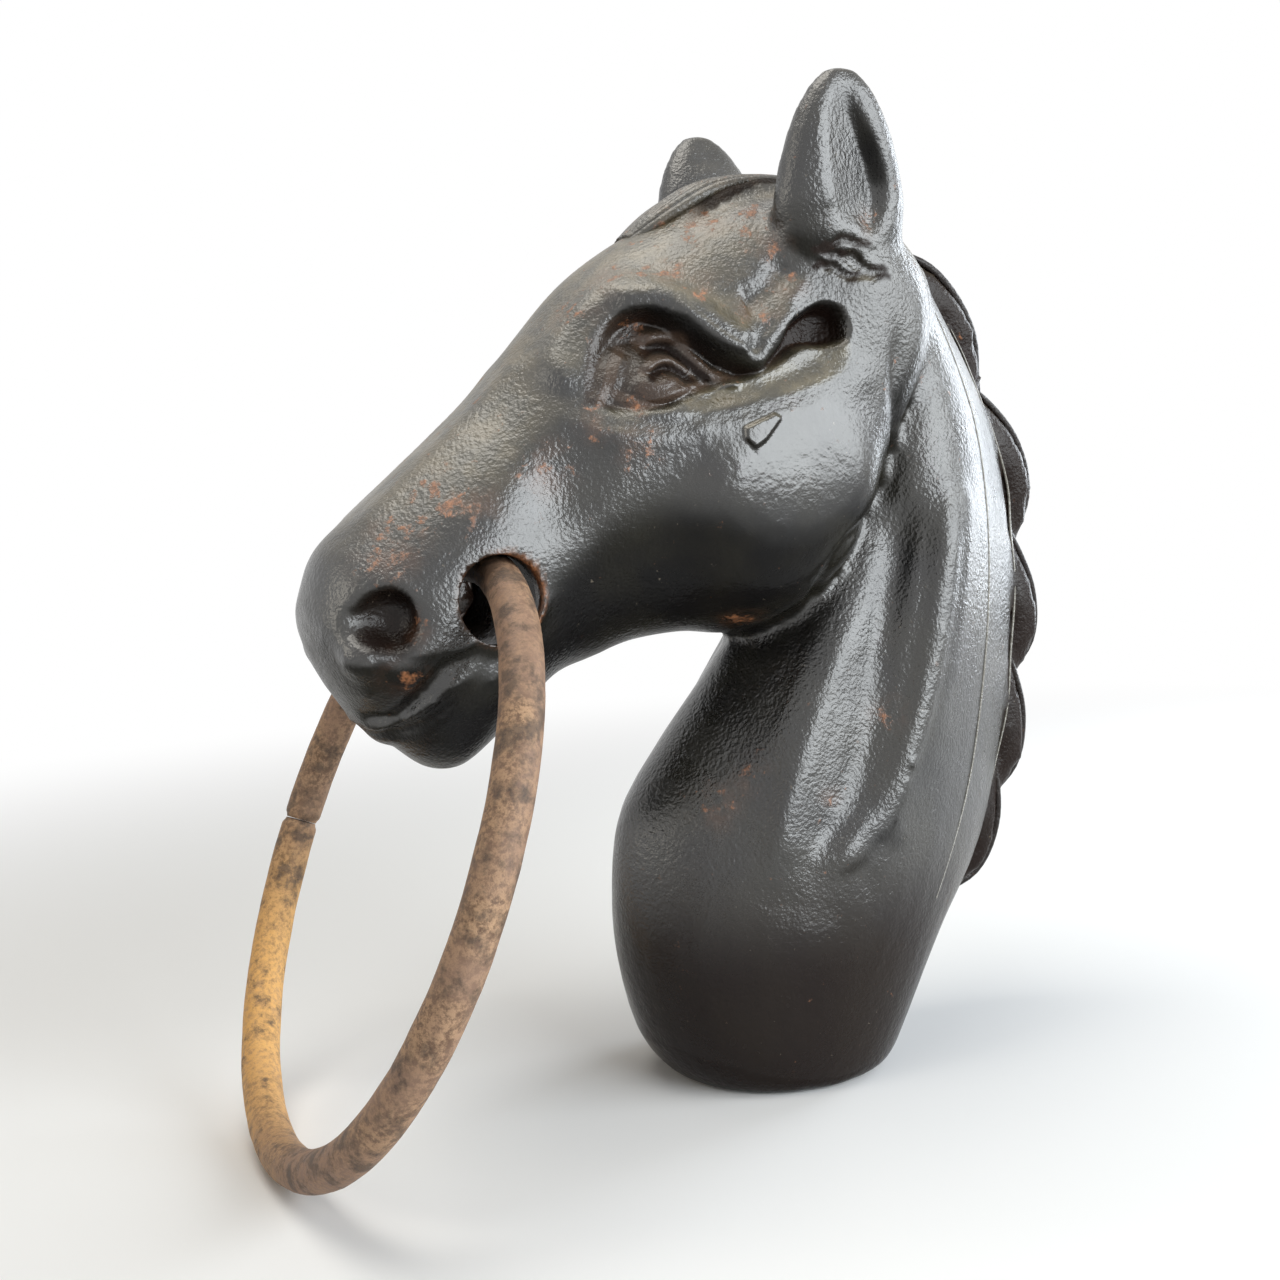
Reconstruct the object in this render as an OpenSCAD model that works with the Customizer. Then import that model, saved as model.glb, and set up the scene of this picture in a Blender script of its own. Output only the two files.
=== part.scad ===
// Horse-head top of a hitching post: one cored iron casting and the loose iron ring in its muzzle.
// Frame: origin at the centre of the neck's foot, +Z up. The nose points to -X and the horse's
// left side faces -Y. The mane falls on the right side, +Y.

/* [Foot and socket] */
// Outside diameter of the neck's foot
foot_d = 58; // [55:0.5:70]
// Bore of the socket that slips over the post
socket_d = 49; // [36:0.5:50]
// Depth of the socket
socket_depth = 50; // [30:1:56]
// Width of the shoulder at the top of the socket that stops the post
socket_shoulder = 6; // [3:0.5:10]
// Thickness of the cored walls
wall = 7; // [5:0.5:9]

/* [Neck] */
// Width of the neck at its middle
neck_w = 66; // [60:1:76]
// Depth of the flute between the two neck muscles
flute_depth = 3.5; // [0:0.25:4]
// Rise of the two neck muscles
muscle_rise = 2; // [0:0.25:3]

/* [Head] */
// Width across the brows
brow_w = 72; // [66:1:80]
// Width across the round cheeks
cheek_w = 70; // [64:1:78]
// Width of the muzzle at the ring hole
muzzle_w = 56; // [52:1:62]
// Rise of the brow ridges
brow_rise = 2; // [0:0.25:3]
// Depth of the eye sockets under the brows
eye_socket_depth = 4.5; // [2:0.25:6]
// Diameter of the eyeballs
eye_d = 13; // [9:0.5:16]
// Depth of the hollows at the temples
temple_depth = 5.5; // [2:0.25:6]
// Depth of the nostrils
nostril_depth = 3.5; // [1:0.25:5]
// Depth of the groove between the lips
mouth_depth = 2; // [0.5:0.1:3]

/* [Ears] */
// Length of an ear from its root inside the head
ear_len = 46.5; // [38:0.5:54]
// Width of an ear at its root, from front to back
ear_w = 37; // [28:1:40]
// Depth of the scoop in each ear
ear_scoop = 4.5; // [2:0.25:6]

/* [Mane] */
// Number of locks down the neck
lock_count = 5; // [3:1:6]
// Width of a lock
lock_w = 26; // [18:1:30]
// Thickness of a lock
lock_t = 13; // [9:0.5:16]
// Number of strands in a lock
lock_strands = 8; // [4:1:8]
// Depth of the grooves between the strands of a lock
lock_groove = 1.2; // [0:0.1:1.6]
// Number of strands in the forelock between the ears
forelock_count = 3; // [2:1:4]

/* [Ring] */
// Outside diameter of the ring
ring_od = 150; // [136:0.5:160]
// Diameter of the round bar that the ring is bent from
ring_bar_d = 9.5; // [7:0.25:11]
// Gap where the two ends of the bar meet
ring_gap = 0.5; // [0.4:0.1:2]
// Diameter of the ring's hole through the muzzle
ring_hole_d = 20; // [17:0.5:22]
// Running clearance between the ring and its hole
ring_clearance = 0.5; // [0.4:0.05:0.8]

/* [Hidden] */
$fn = 96;

// Side profile of the head as ribs from the poll to the upper lip. A rib runs from its point on the
// top line to its point on the under line, [x, z, x, z], and has half widths at a fifth, a half and
// four fifths of its height.
brow = brow_w / 2;
cheek = cheek_w / 2;
muzzle = muzzle_w / 2;
head_ribs = [
    [  46, 199,  40, 178,  0.36 * brow,  0.48 * brow,  0.42 * cheek],
    [  33, 211,  32, 160,  0.76 * brow,  0.92 * brow,  0.78 * cheek],
    [  14, 219,  24, 145,  0.98 * brow,  1.04 * brow,  0.92 * cheek],
    [  -8, 218,  12, 123,  0.88 * brow,  1.02 * brow,  0.98 * cheek],
    [ -28, 210,  -6, 112,  0.77 * brow,  1.00 * brow,  0.95 * cheek],
    [ -46, 199, -23, 113,  0.74 * brow,  0.95 * brow,  0.82 * cheek],
    [ -60, 185, -37, 112,  0.68 * brow,  0.85 * brow,  0.66 * cheek],
    [ -71, 173, -47, 109,  0.62 * brow,  0.76 * brow,  0.57 * cheek],
    [ -81, 164, -57, 106,  0.80 * muzzle, 0.97 * muzzle, 0.72 * muzzle],
    [ -92, 155, -66,  99,  0.80 * muzzle, 1.00 * muzzle, 0.76 * muzzle],
    [-102, 147, -76,  91,  0.78 * muzzle, 0.98 * muzzle, 0.74 * muzzle],
    [-111, 139, -86,  88,  0.74 * muzzle, 0.92 * muzzle, 0.66 * muzzle],
    [-115, 129, -97,  94,  0.62 * muzzle, 0.74 * muzzle, 0.52 * muzzle]
];
nose_tip = [-109.5, 0, 107.5];

// Neck ribs from the foot to the poll, each from the crest to the throat, in the same form.
foot_r = foot_d / 2;
neck = neck_w / 2;
neck_ribs = [
    [foot_r, 0, -foot_r, 0,  0.8 * foot_r, foot_r, 0.8 * foot_r],
    [35,  10,  -37,  11,  0.76 * neck, 0.94 * neck, 0.76 * neck],
    [49,  30,  -42,  30,  0.74 * neck, 1.00 * neck, 0.80 * neck],
    [64,  48,  -43,  48,  0.66 * neck, 1.02 * neck, 0.82 * neck],
    [73,  70,  -40,  68,  0.58 * neck, 1.02 * neck, 0.80 * neck],
    [78,  95,  -29,  84,  0.54 * neck, 1.00 * neck, 0.76 * neck],
    [80, 120,  -17,  98,  0.52 * neck, 0.97 * neck, 0.70 * neck],
    [78, 147,   -4, 114,  0.50 * neck, 0.92 * neck, 0.64 * neck],
    [69, 172,   10, 135,  0.50 * neck, 0.84 * neck, 0.60 * neck],
    [53, 198,   20, 158,  0.48 * neck, 0.72 * neck, 0.52 * neck]
];
neck_top = [36, 0, 196];

// How finely the skins are drawn: rings along, points round, and rings in a rounded end
head_rings = 52;
head_round = 56;
neck_rings = 26;
neck_round = 36;
core_rings = 10;
core_round = 16;
cap_rings = 5;

// Places of the features, [x, z] as the side view shows them, with their radii and reaches
eye_at = [-39, 171];
eye_rise = 0.55 * eye_d / 2;
eye_squint = 1.15;
eye_socket_at = [-42, 177];
eye_socket_r = [15, 13];
temple_at = [1, 182];
temple_r = [9, 8.5];
temple_channel = [[-30, 178], [-17, 173], [-5, 179]];
channel_depth = 0.6 * temple_depth;
channel_reach = 6;
brow_line = [[-57, 178], [-52, 188], [-41, 193], [-29, 188], [-16, 180], [-7, 189]];
brow_reach = 8;
cheek_at = [-8, 144];
cheek_r = 31;
cheek_rise = 3;
cheek_line = [[-50, 162], [-27, 165], [-6, 169], [8, 171]];
cheek_line_rise = 1.2;
cheek_line_reach = 7;
nose_hollow_at = [-61, 150];
nose_hollow_r = [22, 11];
nose_hollow_turn = 50;
nose_hollow_depth = 2;
nostril_at = [-103, 124];
nostril_r = [9, 8];
nostril_rim_at = [-107, 116];
nostril_rim_r = [6, 5];
nostril_rim_rise = 1.5;
mouth_line = [[-111, 103], [-103, 103], [-94, 107], [-84, 113], [-75, 116]];
mouth_reach = 4;
ring_hole_at = [-77.5, 126.5];
flute_line = [[27, 138], [21, 121], [15, 98], [8, 79], [-3, 60]];
flute_reach = 10;
front_muscle = [[16, 128], [8, 112], [-2, 95], [-8, 76], [-10, 61]];
back_muscle = [[42, 138], [35, 113], [25, 86], [13, 68], [0, 57]];
muscle_reach = 11;

// The ring's seat: the ring hangs on the inner edges of its hole, inside the muzzle's chamber,
// and leans forward until it touches the ground under the foot
ring_bar_r = ring_bar_d / 2;
ring_r = ring_od / 2 - ring_bar_r;
ring_hole_r = ring_hole_d / 2;
chamber_half_w = muzzle - wall;
seat_offset = ring_hole_r - ring_bar_r - ring_clearance;
ring_drop = sqrt(ring_r * ring_r - chamber_half_w * chamber_half_w) - seat_offset;
chamber_room = 1;
chamber_flare = 2;
chamber_r = ring_r - ring_drop + ring_bar_r + chamber_room;
lean_cos = (ring_hole_at[1] - ring_bar_r) / (ring_drop + ring_r);
ring_lean = lean_cos < 1 ? acos(lean_cos) : 0;
ring_gap_turn = ring_gap / ring_r * 180 / PI;
ring_gap_at = -4;

// Point at t, from 0 to 1, on the smooth curve through the points p
function spline(p, t) =
    let (n = len(p) - 1, s = min(t * n, n - 1e-6), i = floor(s))
    catmull(p[max(i - 1, 0)], p[i], p[i + 1], p[min(i + 2, n)], s - i);

function catmull(a, b, c, d, t) =
    b + t / 2 * ((c - a) + t * ((2 * a - 5 * b + 4 * c - d) + t * (3 * b - a - 3 * c + d)));

// Point at t on a rib's outline, from its top round the left side. The outline is an oval whose
// width varies so that it passes through the rib's three half widths.
function rib_point(rib, t) =
    let (
        share = (1 - cos(360 * t)) / 2,
        upper = rib[4] / 0.8,
        lower = rib[6] / 0.8,
        k = cos(360 * t) / 0.6,
        w = rib[5] + (upper - lower) / 2 * k + ((upper + lower) / 2 - rib[5]) * k * k
    )
    [rib[0] + (rib[2] - rib[0]) * share, -w * sin(360 * t), rib[1] + (rib[3] - rib[1]) * share];

function rib_ring(rib, n) = [for (j = [0 : n - 1]) rib_point(rib, j / n)];

function rib_middle(rib) = [(rib[0] + rib[2]) / 2, 0, (rib[1] + rib[3]) / 2];

// A rib drawn in by d all round, for the core
function inset(rib, d) =
    let (a = [rib[0], rib[1]], b = [rib[2], rib[3]], u = (b - a) / norm(b - a))
    [each (a + d * u), each (b - d * u), rib[4] - d, rib[5] - d, rib[6] - d];

// Rings of a loft along the ribs, with a rounded end that closes on the point tip
function loft(ribs, tip, along, round) = concat(
    [for (i = [0 : along]) rib_ring(spline(ribs, i / along), round)],
    let (last = ribs[len(ribs) - 1], mid = rib_middle(last), ring = rib_ring(last, round))
    [for (k = [1 : cap_rings - 1])
        let (a = 90 * k / cap_rings)
        [for (p = ring) mid + (tip - mid) * sin(a) + (p - mid) * cos(a)]]
);

// The same rings moved out along their normals by relief(), a function of the point.
// The first ring stays flat.
function raise(rings, relief) =
    let (m = len(rings), n = len(rings[0]))
    [for (i = [0 : m - 1]) [for (j = [0 : n - 1])
        let (
            p = rings[i][j],
            along = rings[min(i + 1, m - 1)][j] - rings[max(i - 1, 0)][j],
            round = rings[i][(j + 1) % n] - rings[i][(j + n - 1) % n],
            out = cross(along, round),
            size = norm(out)
        )
        i == 0 || size < 1e-6 ? p : p + out / size * relief(p)
    ]];

// A closed skin over rings that run anticlockwise, seen looking along the loft
module skin(rings, first, last) {
    m = len(rings);
    n = len(rings[0]);
    points = concat([first], [for (ring = rings) each ring], [last]);
    sides = [for (i = [0 : m - 2]) for (j = [0 : n - 1])
        let (a = 1 + i * n + j, b = 1 + i * n + (j + 1) % n)
        each norm(points[a] - points[b + n]) < norm(points[b] - points[a + n])
            ? [[a, b + n, a + n], [a, b, b + n]]
            : [[a, b, a + n], [b, b + n, a + n]]];
    start = [for (j = [0 : n - 1]) [0, 1 + (j + 1) % n, 1 + j]];
    end = [for (j = [0 : n - 1]) [m * n + 1, 1 + (m - 1) * n + j, 1 + (m - 1) * n + (j + 1) % n]];
    polyhedron(points, concat(start, sides, end), convexity = 8);
}

// Smooth step from 1 inside a to 0 outside b
function fade(q, a, b) =
    let (t = min(max((b - q) / (b - a), 0), 1)) t * t * (3 - 2 * t);

// Distance from p to c in the side view, in shares of the radii r of an oval turned by a
function oval(p, c, r, a = 0) =
    let (dx = p[0] - c[0], dz = p[2] - c[1])
    norm([(dx * cos(a) + dz * sin(a)) / r[0], (dz * cos(a) - dx * sin(a)) / r[1]]);

// Distance from p to the smooth curve through line in the side view
function off_line(p, line) =
    min([for (i = [0 : 24]) let (c = spline(line, i / 24)) norm([p[0] - c[0], p[2] - c[1]])]);

// 1 on the flanks and 0 on the top and under lines
function flank(p) = 1 - fade(abs(p[1]), 8, 18);

// Eye socket, channel and temple hollow run into each other, so the deepest of the three counts
function eye_recess(p) = max(
    eye_socket_depth * fade(oval(p, eye_socket_at, eye_socket_r), 0.55, 1),
    channel_depth * fade(off_line(p, temple_channel), channel_reach / 4, channel_reach),
    temple_depth * fade(oval(p, temple_at, temple_r), 0.35, 1)
);

function eyeball(p) = eye_rise * fade(oval(p, eye_at, [eye_d / 2, eye_d / 2 / eye_squint]), 0.2, 1);

function head_relief(p) = flank(p) * (
    cheek_rise * fade(oval(p, cheek_at, [cheek_r, cheek_r]), 0.5, 1)
    + brow_rise * fade(off_line(p, brow_line), brow_reach / 5, brow_reach)
    + cheek_line_rise * fade(off_line(p, cheek_line), cheek_line_reach / 7, cheek_line_reach)
    - eye_recess(p)
    + eyeball(p)
    - nose_hollow_depth * fade(oval(p, nose_hollow_at, nose_hollow_r, nose_hollow_turn), 0.1, 1)
    - nostril_depth * fade(oval(p, nostril_at, nostril_r), 0.4, 1)
    + nostril_rim_rise * fade(oval(p, nostril_rim_at, nostril_rim_r), 0.2, 1)
    - mouth_depth * fade(off_line(p, mouth_line), mouth_reach / 8, mouth_reach)
);

function neck_relief(p) = flank(p) * (
    muscle_rise * fade(off_line(p, front_muscle), muscle_reach / 6, muscle_reach)
    + muscle_rise * fade(off_line(p, back_muscle), muscle_reach / 6, muscle_reach)
    - flute_depth * fade(off_line(p, flute_line), flute_reach / 6, flute_reach)
);

module head_skin() {
    rings = raise(loft(head_ribs, nose_tip, head_rings, head_round), function(p) head_relief(p));
    skin(rings, rib_middle(head_ribs[0]), nose_tip);
}

module neck_skin() {
    rings = raise(loft(neck_ribs, neck_top, neck_rings, neck_round), function(p) neck_relief(p));
    skin(rings, [0, 0, 0], neck_top);
}

// Rings of ellipses along a path, each with its own two half axes. With a groove, every second
// point lies that much further in.
function tube(path, wide, deep, n, groove = 0) = [for (i = [0 : len(path) - 1])
    [for (j = [0 : n - 1])
        let (r = wide[i] * cos(360 * j / n) - deep[i] * sin(360 * j / n))
        path[i] + r * (1 - (j % 2) * groove / norm(r))]];

function flip(p, s) = [p[0], s * p[1], p[2]];

// An ear on the side s: a leaf with a rounded tip and a scoop in its outer face. Its root is sunk
// into the head below the top line, and pinched in there.
ear_sink = [3, 9.4, 24];
ear_pinch = 0.22;
ear_pinch_end = 0.3;
poll_rib = head_ribs[2];
ear_root = [poll_rib[0], poll_rib[5], poll_rib[1]] - ear_sink;
ear_lean = 7.5;
ear_deep = 0.26 * ear_w;
ear_tip = ear_root + [-2.2, ear_lean, ear_len];
module ear(s) {
    steps = 8;
    share = [for (i = [0 : steps]) sin(86 * i / steps)];
    path = [for (t = share) flip(ear_root + (ear_tip - ear_root) * t, s)];
    girth = [for (t = share) sqrt(1 - pow(t, 2)) * (1 - ear_pinch * fade(t, 0, ear_pinch_end))];
    wide = [for (g = girth) [ear_w / 2 * g, 0, 0]];
    deep = [for (g = girth) [0, ear_deep * g, 0]];
    difference() {
        skin(tube(path, wide, deep, 20), path[0], flip(ear_tip, s));
        scoop(s);
    }
}

scoop_at = 0.58;
scoop_r = [5.2, 7, 17];
module scoop(s) {
    axis = ear_root + (ear_tip - ear_root) * scoop_at;
    skin_y = axis[1] + ear_deep * sqrt(1 - pow(scoop_at, 2));
    translate([axis[0], s * (skin_y + scoop_r[1] - ear_scoop), axis[2]])
        rotate([s * 4, 0, 0])
            scale(scoop_r)
                sphere(r = 1, $fn = 20);
}

// The crest from the poll to the foot, its direction and its outward normal, in the side view
poll = [38, 0, 207];
crest_points = [poll, for (i = [len(neck_ribs) - 1 : -1 : 1]) [neck_ribs[i][0], 0, neck_ribs[i][1]]];
function crest(t) = spline(crest_points, t);
function crest_out(t) =
    let (d = crest(min(t + 0.02, 1)) - crest(max(t - 0.02, 0)), u = d / norm(d))
    [-u[2], 0, u[0]];

// Locks of the mane lie along the crest on its right side and swell towards their ends
lock_span = 0.22;
lock_first = 0.025;
lock_reach = 0.77;
function lock_start(k) =
    let (share = k / lock_count) lock_first + lock_reach * share * (1.2 - 0.25 * share);
lock_rise = [-0.6, -0.34, -0.08, 0.05, -0.15];
lock_side = [0.2, 0.3, 0.36, 0.4, 0.4];
lock_girth = [0.5, 0.82, 1, 1, 0.75];
lock_tilt = 48;
function lock_size(k) = 0.8 + 0.3 * sin(180 * (k + 0.5) / lock_count);
module lock(k) {
    steps = 7;
    w = lock_w * lock_size(k);
    t = lock_t * lock_size(k);
    share = [for (i = [0 : steps]) i / steps];
    at = [for (s = share) lock_start(k) + lock_span * s];
    path = [for (i = [0 : steps]) crest(at[i])
        + crest_out(at[i]) * t * spline(lock_rise, share[i])
        + [0, w * spline(lock_side, share[i]), 0]];
    girth = [for (s = share) spline(lock_girth, s)];
    wide = [for (i = [0 : steps]) w / 2 * girth[i]
        * (-sin(lock_tilt) * crest_out(at[i]) + [0, cos(lock_tilt), 0])];
    deep = [for (i = [0 : steps]) t / 2 * girth[i]
        * (cos(lock_tilt) * crest_out(at[i]) + [0, sin(lock_tilt), 0])];
    skin(tube(path, wide, deep, 2 * lock_strands, lock_groove), path[0],
        path[steps] + (path[steps] - path[steps - 1]) * 0.5);
}

// Strands of the forelock run forward from the poll between the ears
forelock_w = 30;
forelock_t = 10;
forelock_line = [[26, 1, 212], [10, 1, 217], [-10, 0.9, 215.5], [-27, 0.6, 207]];
module forelock(k) {
    steps = 6;
    side = forelock_w * ((k + 0.5) / forelock_count - 0.5);
    share = [for (i = [0 : steps]) i / steps];
    path = [for (s = share) let (q = spline(forelock_line, s)) [q[0], side * q[1], q[2]]];
    girth = [for (s = share) sqrt(1.04 - pow(2 * s - 1, 2))];
    wide = [for (g = girth) [0, -0.6 * forelock_w / forelock_count * g, 0]];
    deep = [for (g = girth) [0, 0, forelock_t / 2 * g]];
    skin(tube(path, wide, deep, 10), path[0], path[steps]);
}

// The sand core: the hollow of the neck, which runs out through the foot, and the hollow of the head
core_foot = -1;
core_neck = socket_d / 2 - socket_shoulder;
neck_core_tip = [40, 0, 178];
head_core_tip = [-86, 0, 124];
module neck_core() {
    straight = [for (z = [core_foot, socket_depth])
        [core_neck, z, -core_neck, z, 0.8 * core_neck, core_neck, 0.8 * core_neck]];
    ribs = concat(straight, [for (i = [4 : 8]) inset(neck_ribs[i], wall)]);
    skin(loft(ribs, neck_core_tip, core_rings, core_round), [0, 0, core_foot], neck_core_tip);
}

module head_core() {
    ribs = [for (i = [2 : 9]) inset(head_ribs[i], wall + temple_depth)];
    skin(loft(ribs, head_core_tip, core_rings, core_round), rib_middle(ribs[0]), head_core_tip);
}

module head_casting() color([0.13, 0.125, 0.12])
    difference() {
        // resize() with zeros leaves the size as it is and joins the skins into one
        resize([0, 0, 0])
            difference() {
                union() {
                    head_skin();
                    neck_skin();
                    for (s = [-1, 1]) ear(s);
                    for (k = [0 : lock_count - 1]) lock(k);
                    for (k = [0 : forelock_count - 1]) forelock(k);
                }
                neck_core();
                head_core();
                ring_chamber();
            }
        ring_hole();
        post_socket();
    }

// How far a drill runs out past the skin
cut_past = 10;
module ring_hole() {
    translate([ring_hole_at[0], 0, ring_hole_at[1]])
        rotate([90, 0, 0])
            cylinder(h = muzzle_w + 2 * cut_past, r = ring_hole_r, center = true);
}

// The room inside the muzzle where the ring's bar lies across between the two walls
module ring_chamber() {
    translate([ring_hole_at[0], 0, ring_hole_at[1]])
        for (a = [90, -90])
            rotate([a, 0, 0])
                cylinder(h = chamber_half_w, r1 = chamber_r, r2 = ring_hole_r + chamber_flare, $fn = 32);
}

module post_socket() {
    translate([0, 0, -cut_past])
        cylinder(h = socket_depth + cut_past, d = socket_d);
}

module hitching_ring() color([0.55, 0.36, 0.2])
    translate([ring_hole_at[0], 0, ring_hole_at[1]])
        rotate([0, ring_lean, 0])
            translate([0, 0, -ring_drop])
                rotate([90, 0, 90])
                    rotate([0, 0, ring_gap_at + ring_gap_turn / 2])
                        rotate_extrude(angle = 360 - ring_gap_turn)
                            translate([ring_r, 0]) circle(r = ring_bar_r);

head_casting();
hitching_ring();
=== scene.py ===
import math

import bmesh
import bpy
import numpy as np
from mathutils import Matrix, Vector


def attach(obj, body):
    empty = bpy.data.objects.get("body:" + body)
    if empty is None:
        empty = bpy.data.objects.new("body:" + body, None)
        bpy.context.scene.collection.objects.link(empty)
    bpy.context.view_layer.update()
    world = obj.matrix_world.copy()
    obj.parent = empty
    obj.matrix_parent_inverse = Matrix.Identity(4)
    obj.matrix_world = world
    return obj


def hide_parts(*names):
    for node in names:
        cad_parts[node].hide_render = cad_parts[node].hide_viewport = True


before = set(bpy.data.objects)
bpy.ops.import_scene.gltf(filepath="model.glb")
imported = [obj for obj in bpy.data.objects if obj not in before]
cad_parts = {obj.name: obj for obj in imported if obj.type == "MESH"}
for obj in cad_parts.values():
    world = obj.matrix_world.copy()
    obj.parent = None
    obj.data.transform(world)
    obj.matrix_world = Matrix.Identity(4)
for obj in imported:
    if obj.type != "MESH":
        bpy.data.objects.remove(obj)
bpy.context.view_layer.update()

# The horse's head and neck: one grey iron casting, poured in sand round a core and left as it came
# from the mould, black with old oil and lightly rusted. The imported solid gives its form. Its skin is
# drawn here in finer cells, and gets the brows, lids, lips, nostrils and ear hollows of the pattern.
MM = 0.001
tiny = 1e-9
weld_gap = 1e-6
skin_cell = 1.6
ring_hole_at = (-77.5, 126.5)
ring_hole_r = 10.0
hole_plug_r = ring_hole_r + 0.6
hole_plug_length = 53.0
chamber_r = 13.7
chamber_mouth_r = 12.0
chamber_half_w = 21.0
socket_r = 24.5
socket_depth = 50.0
socket_plug_r = socket_r + 0.3
socket_plug_length = 40.0


def smooth_step(v, low, high):
    t = np.clip((v - low) / (high - low), 0, 1)
    return t * t * (3 - 2 * t)


def curve_point(a, b, c, d, t):
    """Point at the share t of the way from b to c, on the smooth curve through four points."""
    return b + t / 2 * ((c - a) + t * ((2 * a - 5 * b + 4 * c - d) + t * (3 * b - a - 3 * c + d)))


def through(points, per=10):
    """Points along the smooth curve through a few points."""
    p = np.asarray(points, float)
    ends = np.vstack([p[:1], p, p[-1:]])
    t = np.linspace(0, 1, per, endpoint=False)[:, None]
    parts = [curve_point(a, b, c, d, t) for a, b, c, d in zip(ends, ends[1:], ends[2:], ends[3:])]
    return np.vstack(parts + [p[-1:]])


def from_line(q, line):
    """Distance of the points q from a line, and the share of its length where each is nearest."""
    far = np.full(len(q), np.inf)
    share = np.zeros(len(q))
    runs = np.linalg.norm(np.diff(line, axis=0), axis=1)
    done = 0.0
    for a, b, run in zip(line, line[1:], runs):
        u = b - a
        t = np.clip((q - a) @ u / max(u @ u, tiny), 0, 1)
        d = np.linalg.norm(q - a - t[:, None] * u, axis=1)
        nearer = d < far
        far = np.where(nearer, d, far)
        share = np.where(nearer, (done + t * run) / runs.sum(), share)
        done += run
    return far, share


def into_outline(q, outline):
    """Distance of the points q inside a closed outline, negative outside it."""
    ring = np.vstack([outline, outline[:1]])
    far, _ = from_line(q, ring)
    inside = np.zeros(len(q), bool)
    for (ax, az), (bx, bz) in zip(ring, ring[1:]):
        crosses = (az > q[:, 1]) != (bz > q[:, 1])
        at = ax + (q[:, 1] - az) / np.where(abs(bz - az) < tiny, tiny, bz - az) * (bx - ax)
        inside ^= crosses & (q[:, 0] < at)
    return np.where(inside, far, -far)


def plug(bm, at, along, radius, length, sides=64):
    turn = Vector((0, 0, 1)).rotation_difference(Vector(along)).to_matrix().to_4x4()
    place = Matrix.Translation(Vector(at) * MM) @ turn
    bmesh.ops.create_cone(bm, cap_ends=True, segments=sides, radius1=radius * MM, radius2=radius * MM,
                          depth=length * MM, matrix=place)


def placed(name, data):
    piece = bpy.data.objects.new(name, data)
    bpy.context.scene.collection.objects.link(piece)
    return piece


def shaped(piece):
    """The plain mesh that a piece's modifiers give; the modifiers come off."""
    now = piece.evaluated_get(bpy.context.evaluated_depsgraph_get())
    mesh = bpy.data.meshes.new_from_object(now)
    piece.modifiers.clear()
    piece.data = mesh
    return mesh


def points_of(mesh):
    co = np.empty(len(mesh.vertices) * 3)
    mesh.vertices.foreach_get("co", co)
    return co.reshape(-1, 3) / MM


def edges_of(mesh):
    ends = np.empty(len(mesh.edges) * 2, int)
    mesh.edges.foreach_get("vertices", ends)
    return ends.reshape(-1, 2)


def normals_of(mesh, points):
    mesh.vertices.foreach_set("co", (points * MM).ravel())
    mesh.update()
    n = np.empty(len(mesh.vertices) * 3)
    mesh.vertices.foreach_get("normal", n)
    return n.reshape(-1, 3)


def beside(points, a, b):
    """The mean of each point's neighbours, along the edges from a to b."""
    n = len(points)
    count = np.maximum(np.bincount(a, minlength=n) + np.bincount(b, minlength=n), 1)
    sums = [np.bincount(a, points[b, i], n) + np.bincount(b, points[a, i], n) for i in range(3)]
    return np.stack(sums, 1) / count[:, None]


def ease(points, edges, passes, back=-0.53, only=None):
    """Smooths a skin, and pushes it back out after each pass so that it doesn't shrink."""
    a, b = edges.T
    share = 1 if only is None else only[:, None]
    for _ in range(passes):
        for step in (0.5, back):
            points = points + step * (beside(points, a, b) - points) * share
    return points


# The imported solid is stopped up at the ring's hole and the socket, so that only its outside is redrawn
solid = bmesh.new()
solid.from_mesh(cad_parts["head_casting"].data)
bmesh.ops.remove_doubles(solid, verts=solid.verts, dist=weld_gap)
plug(solid, (ring_hole_at[0], 0, ring_hole_at[1]), (0, 1, 0), hole_plug_r, hole_plug_length)
plug(solid, (0, 0, socket_plug_length / 2), (0, 0, 1), socket_plug_r, socket_plug_length)
head_mesh = bpy.data.meshes.new("horse_head")
solid.to_mesh(head_mesh)
solid.free()
head = placed("horse_head", head_mesh)
redraw = head.modifiers.new("redraw", "REMESH")
redraw.mode = "VOXEL"
redraw.voxel_size = skin_cell * MM
head_mesh = shaped(head)
head_edges = edges_of(head_mesh)
skin = ease(points_of(head_mesh), head_edges, 14)
# The edge of the foot is rounded more than the rest
skin = ease(skin, head_edges, 15, back=0.0, only=1 - smooth_step(skin[:, 2], 1, 5))

# Hollow that runs from the eye through a channel to the temple, under the brow, in the side view
brow_edge = through([
    (-56, 167), (-54.5, 174), (-52, 181.5), (-47.5, 186.8), (-42, 189), (-35, 188.3), (-29, 183.4),
    (-24, 178.9), (-20, 176.4), (-15.6, 175), (-13.4, 176.7), (-10, 180.2), (-6.8, 184.8),
    (0.5, 188.8), (5.6, 187.7), (7.8, 183.6), (7.6, 179.6)], 5)
cheek_edge = through([
    (7.6, 179.6), (6.4, 174), (2, 170.8), (-5, 168.8), (-12, 167.2), (-19, 166), (-27, 164.8),
    (-35, 163.6), (-42, 163.2), (-49, 164.2), (-56, 167)], 5)
eye_hollow = np.vstack([brow_edge, cheek_edge[1:-1]])
hollow_depth = ((-56, -50, -32, -22, -16, -8, 0, 9), (0.6, 2.0, 3.2, 1.8, 1.2, 1.8, 2.6, 2.6))
brow_slope = ((-56, -49, -43, -38, 2, 9), (9.0, 7.5, 4.6, 2.8, 2.8, 2.2))
cheek_slope = ((-56, -45, -28, -20, -10, 2, 9), (4.5, 5.0, 4.6, 4.2, 5.0, 7.0, 7.0))
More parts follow.
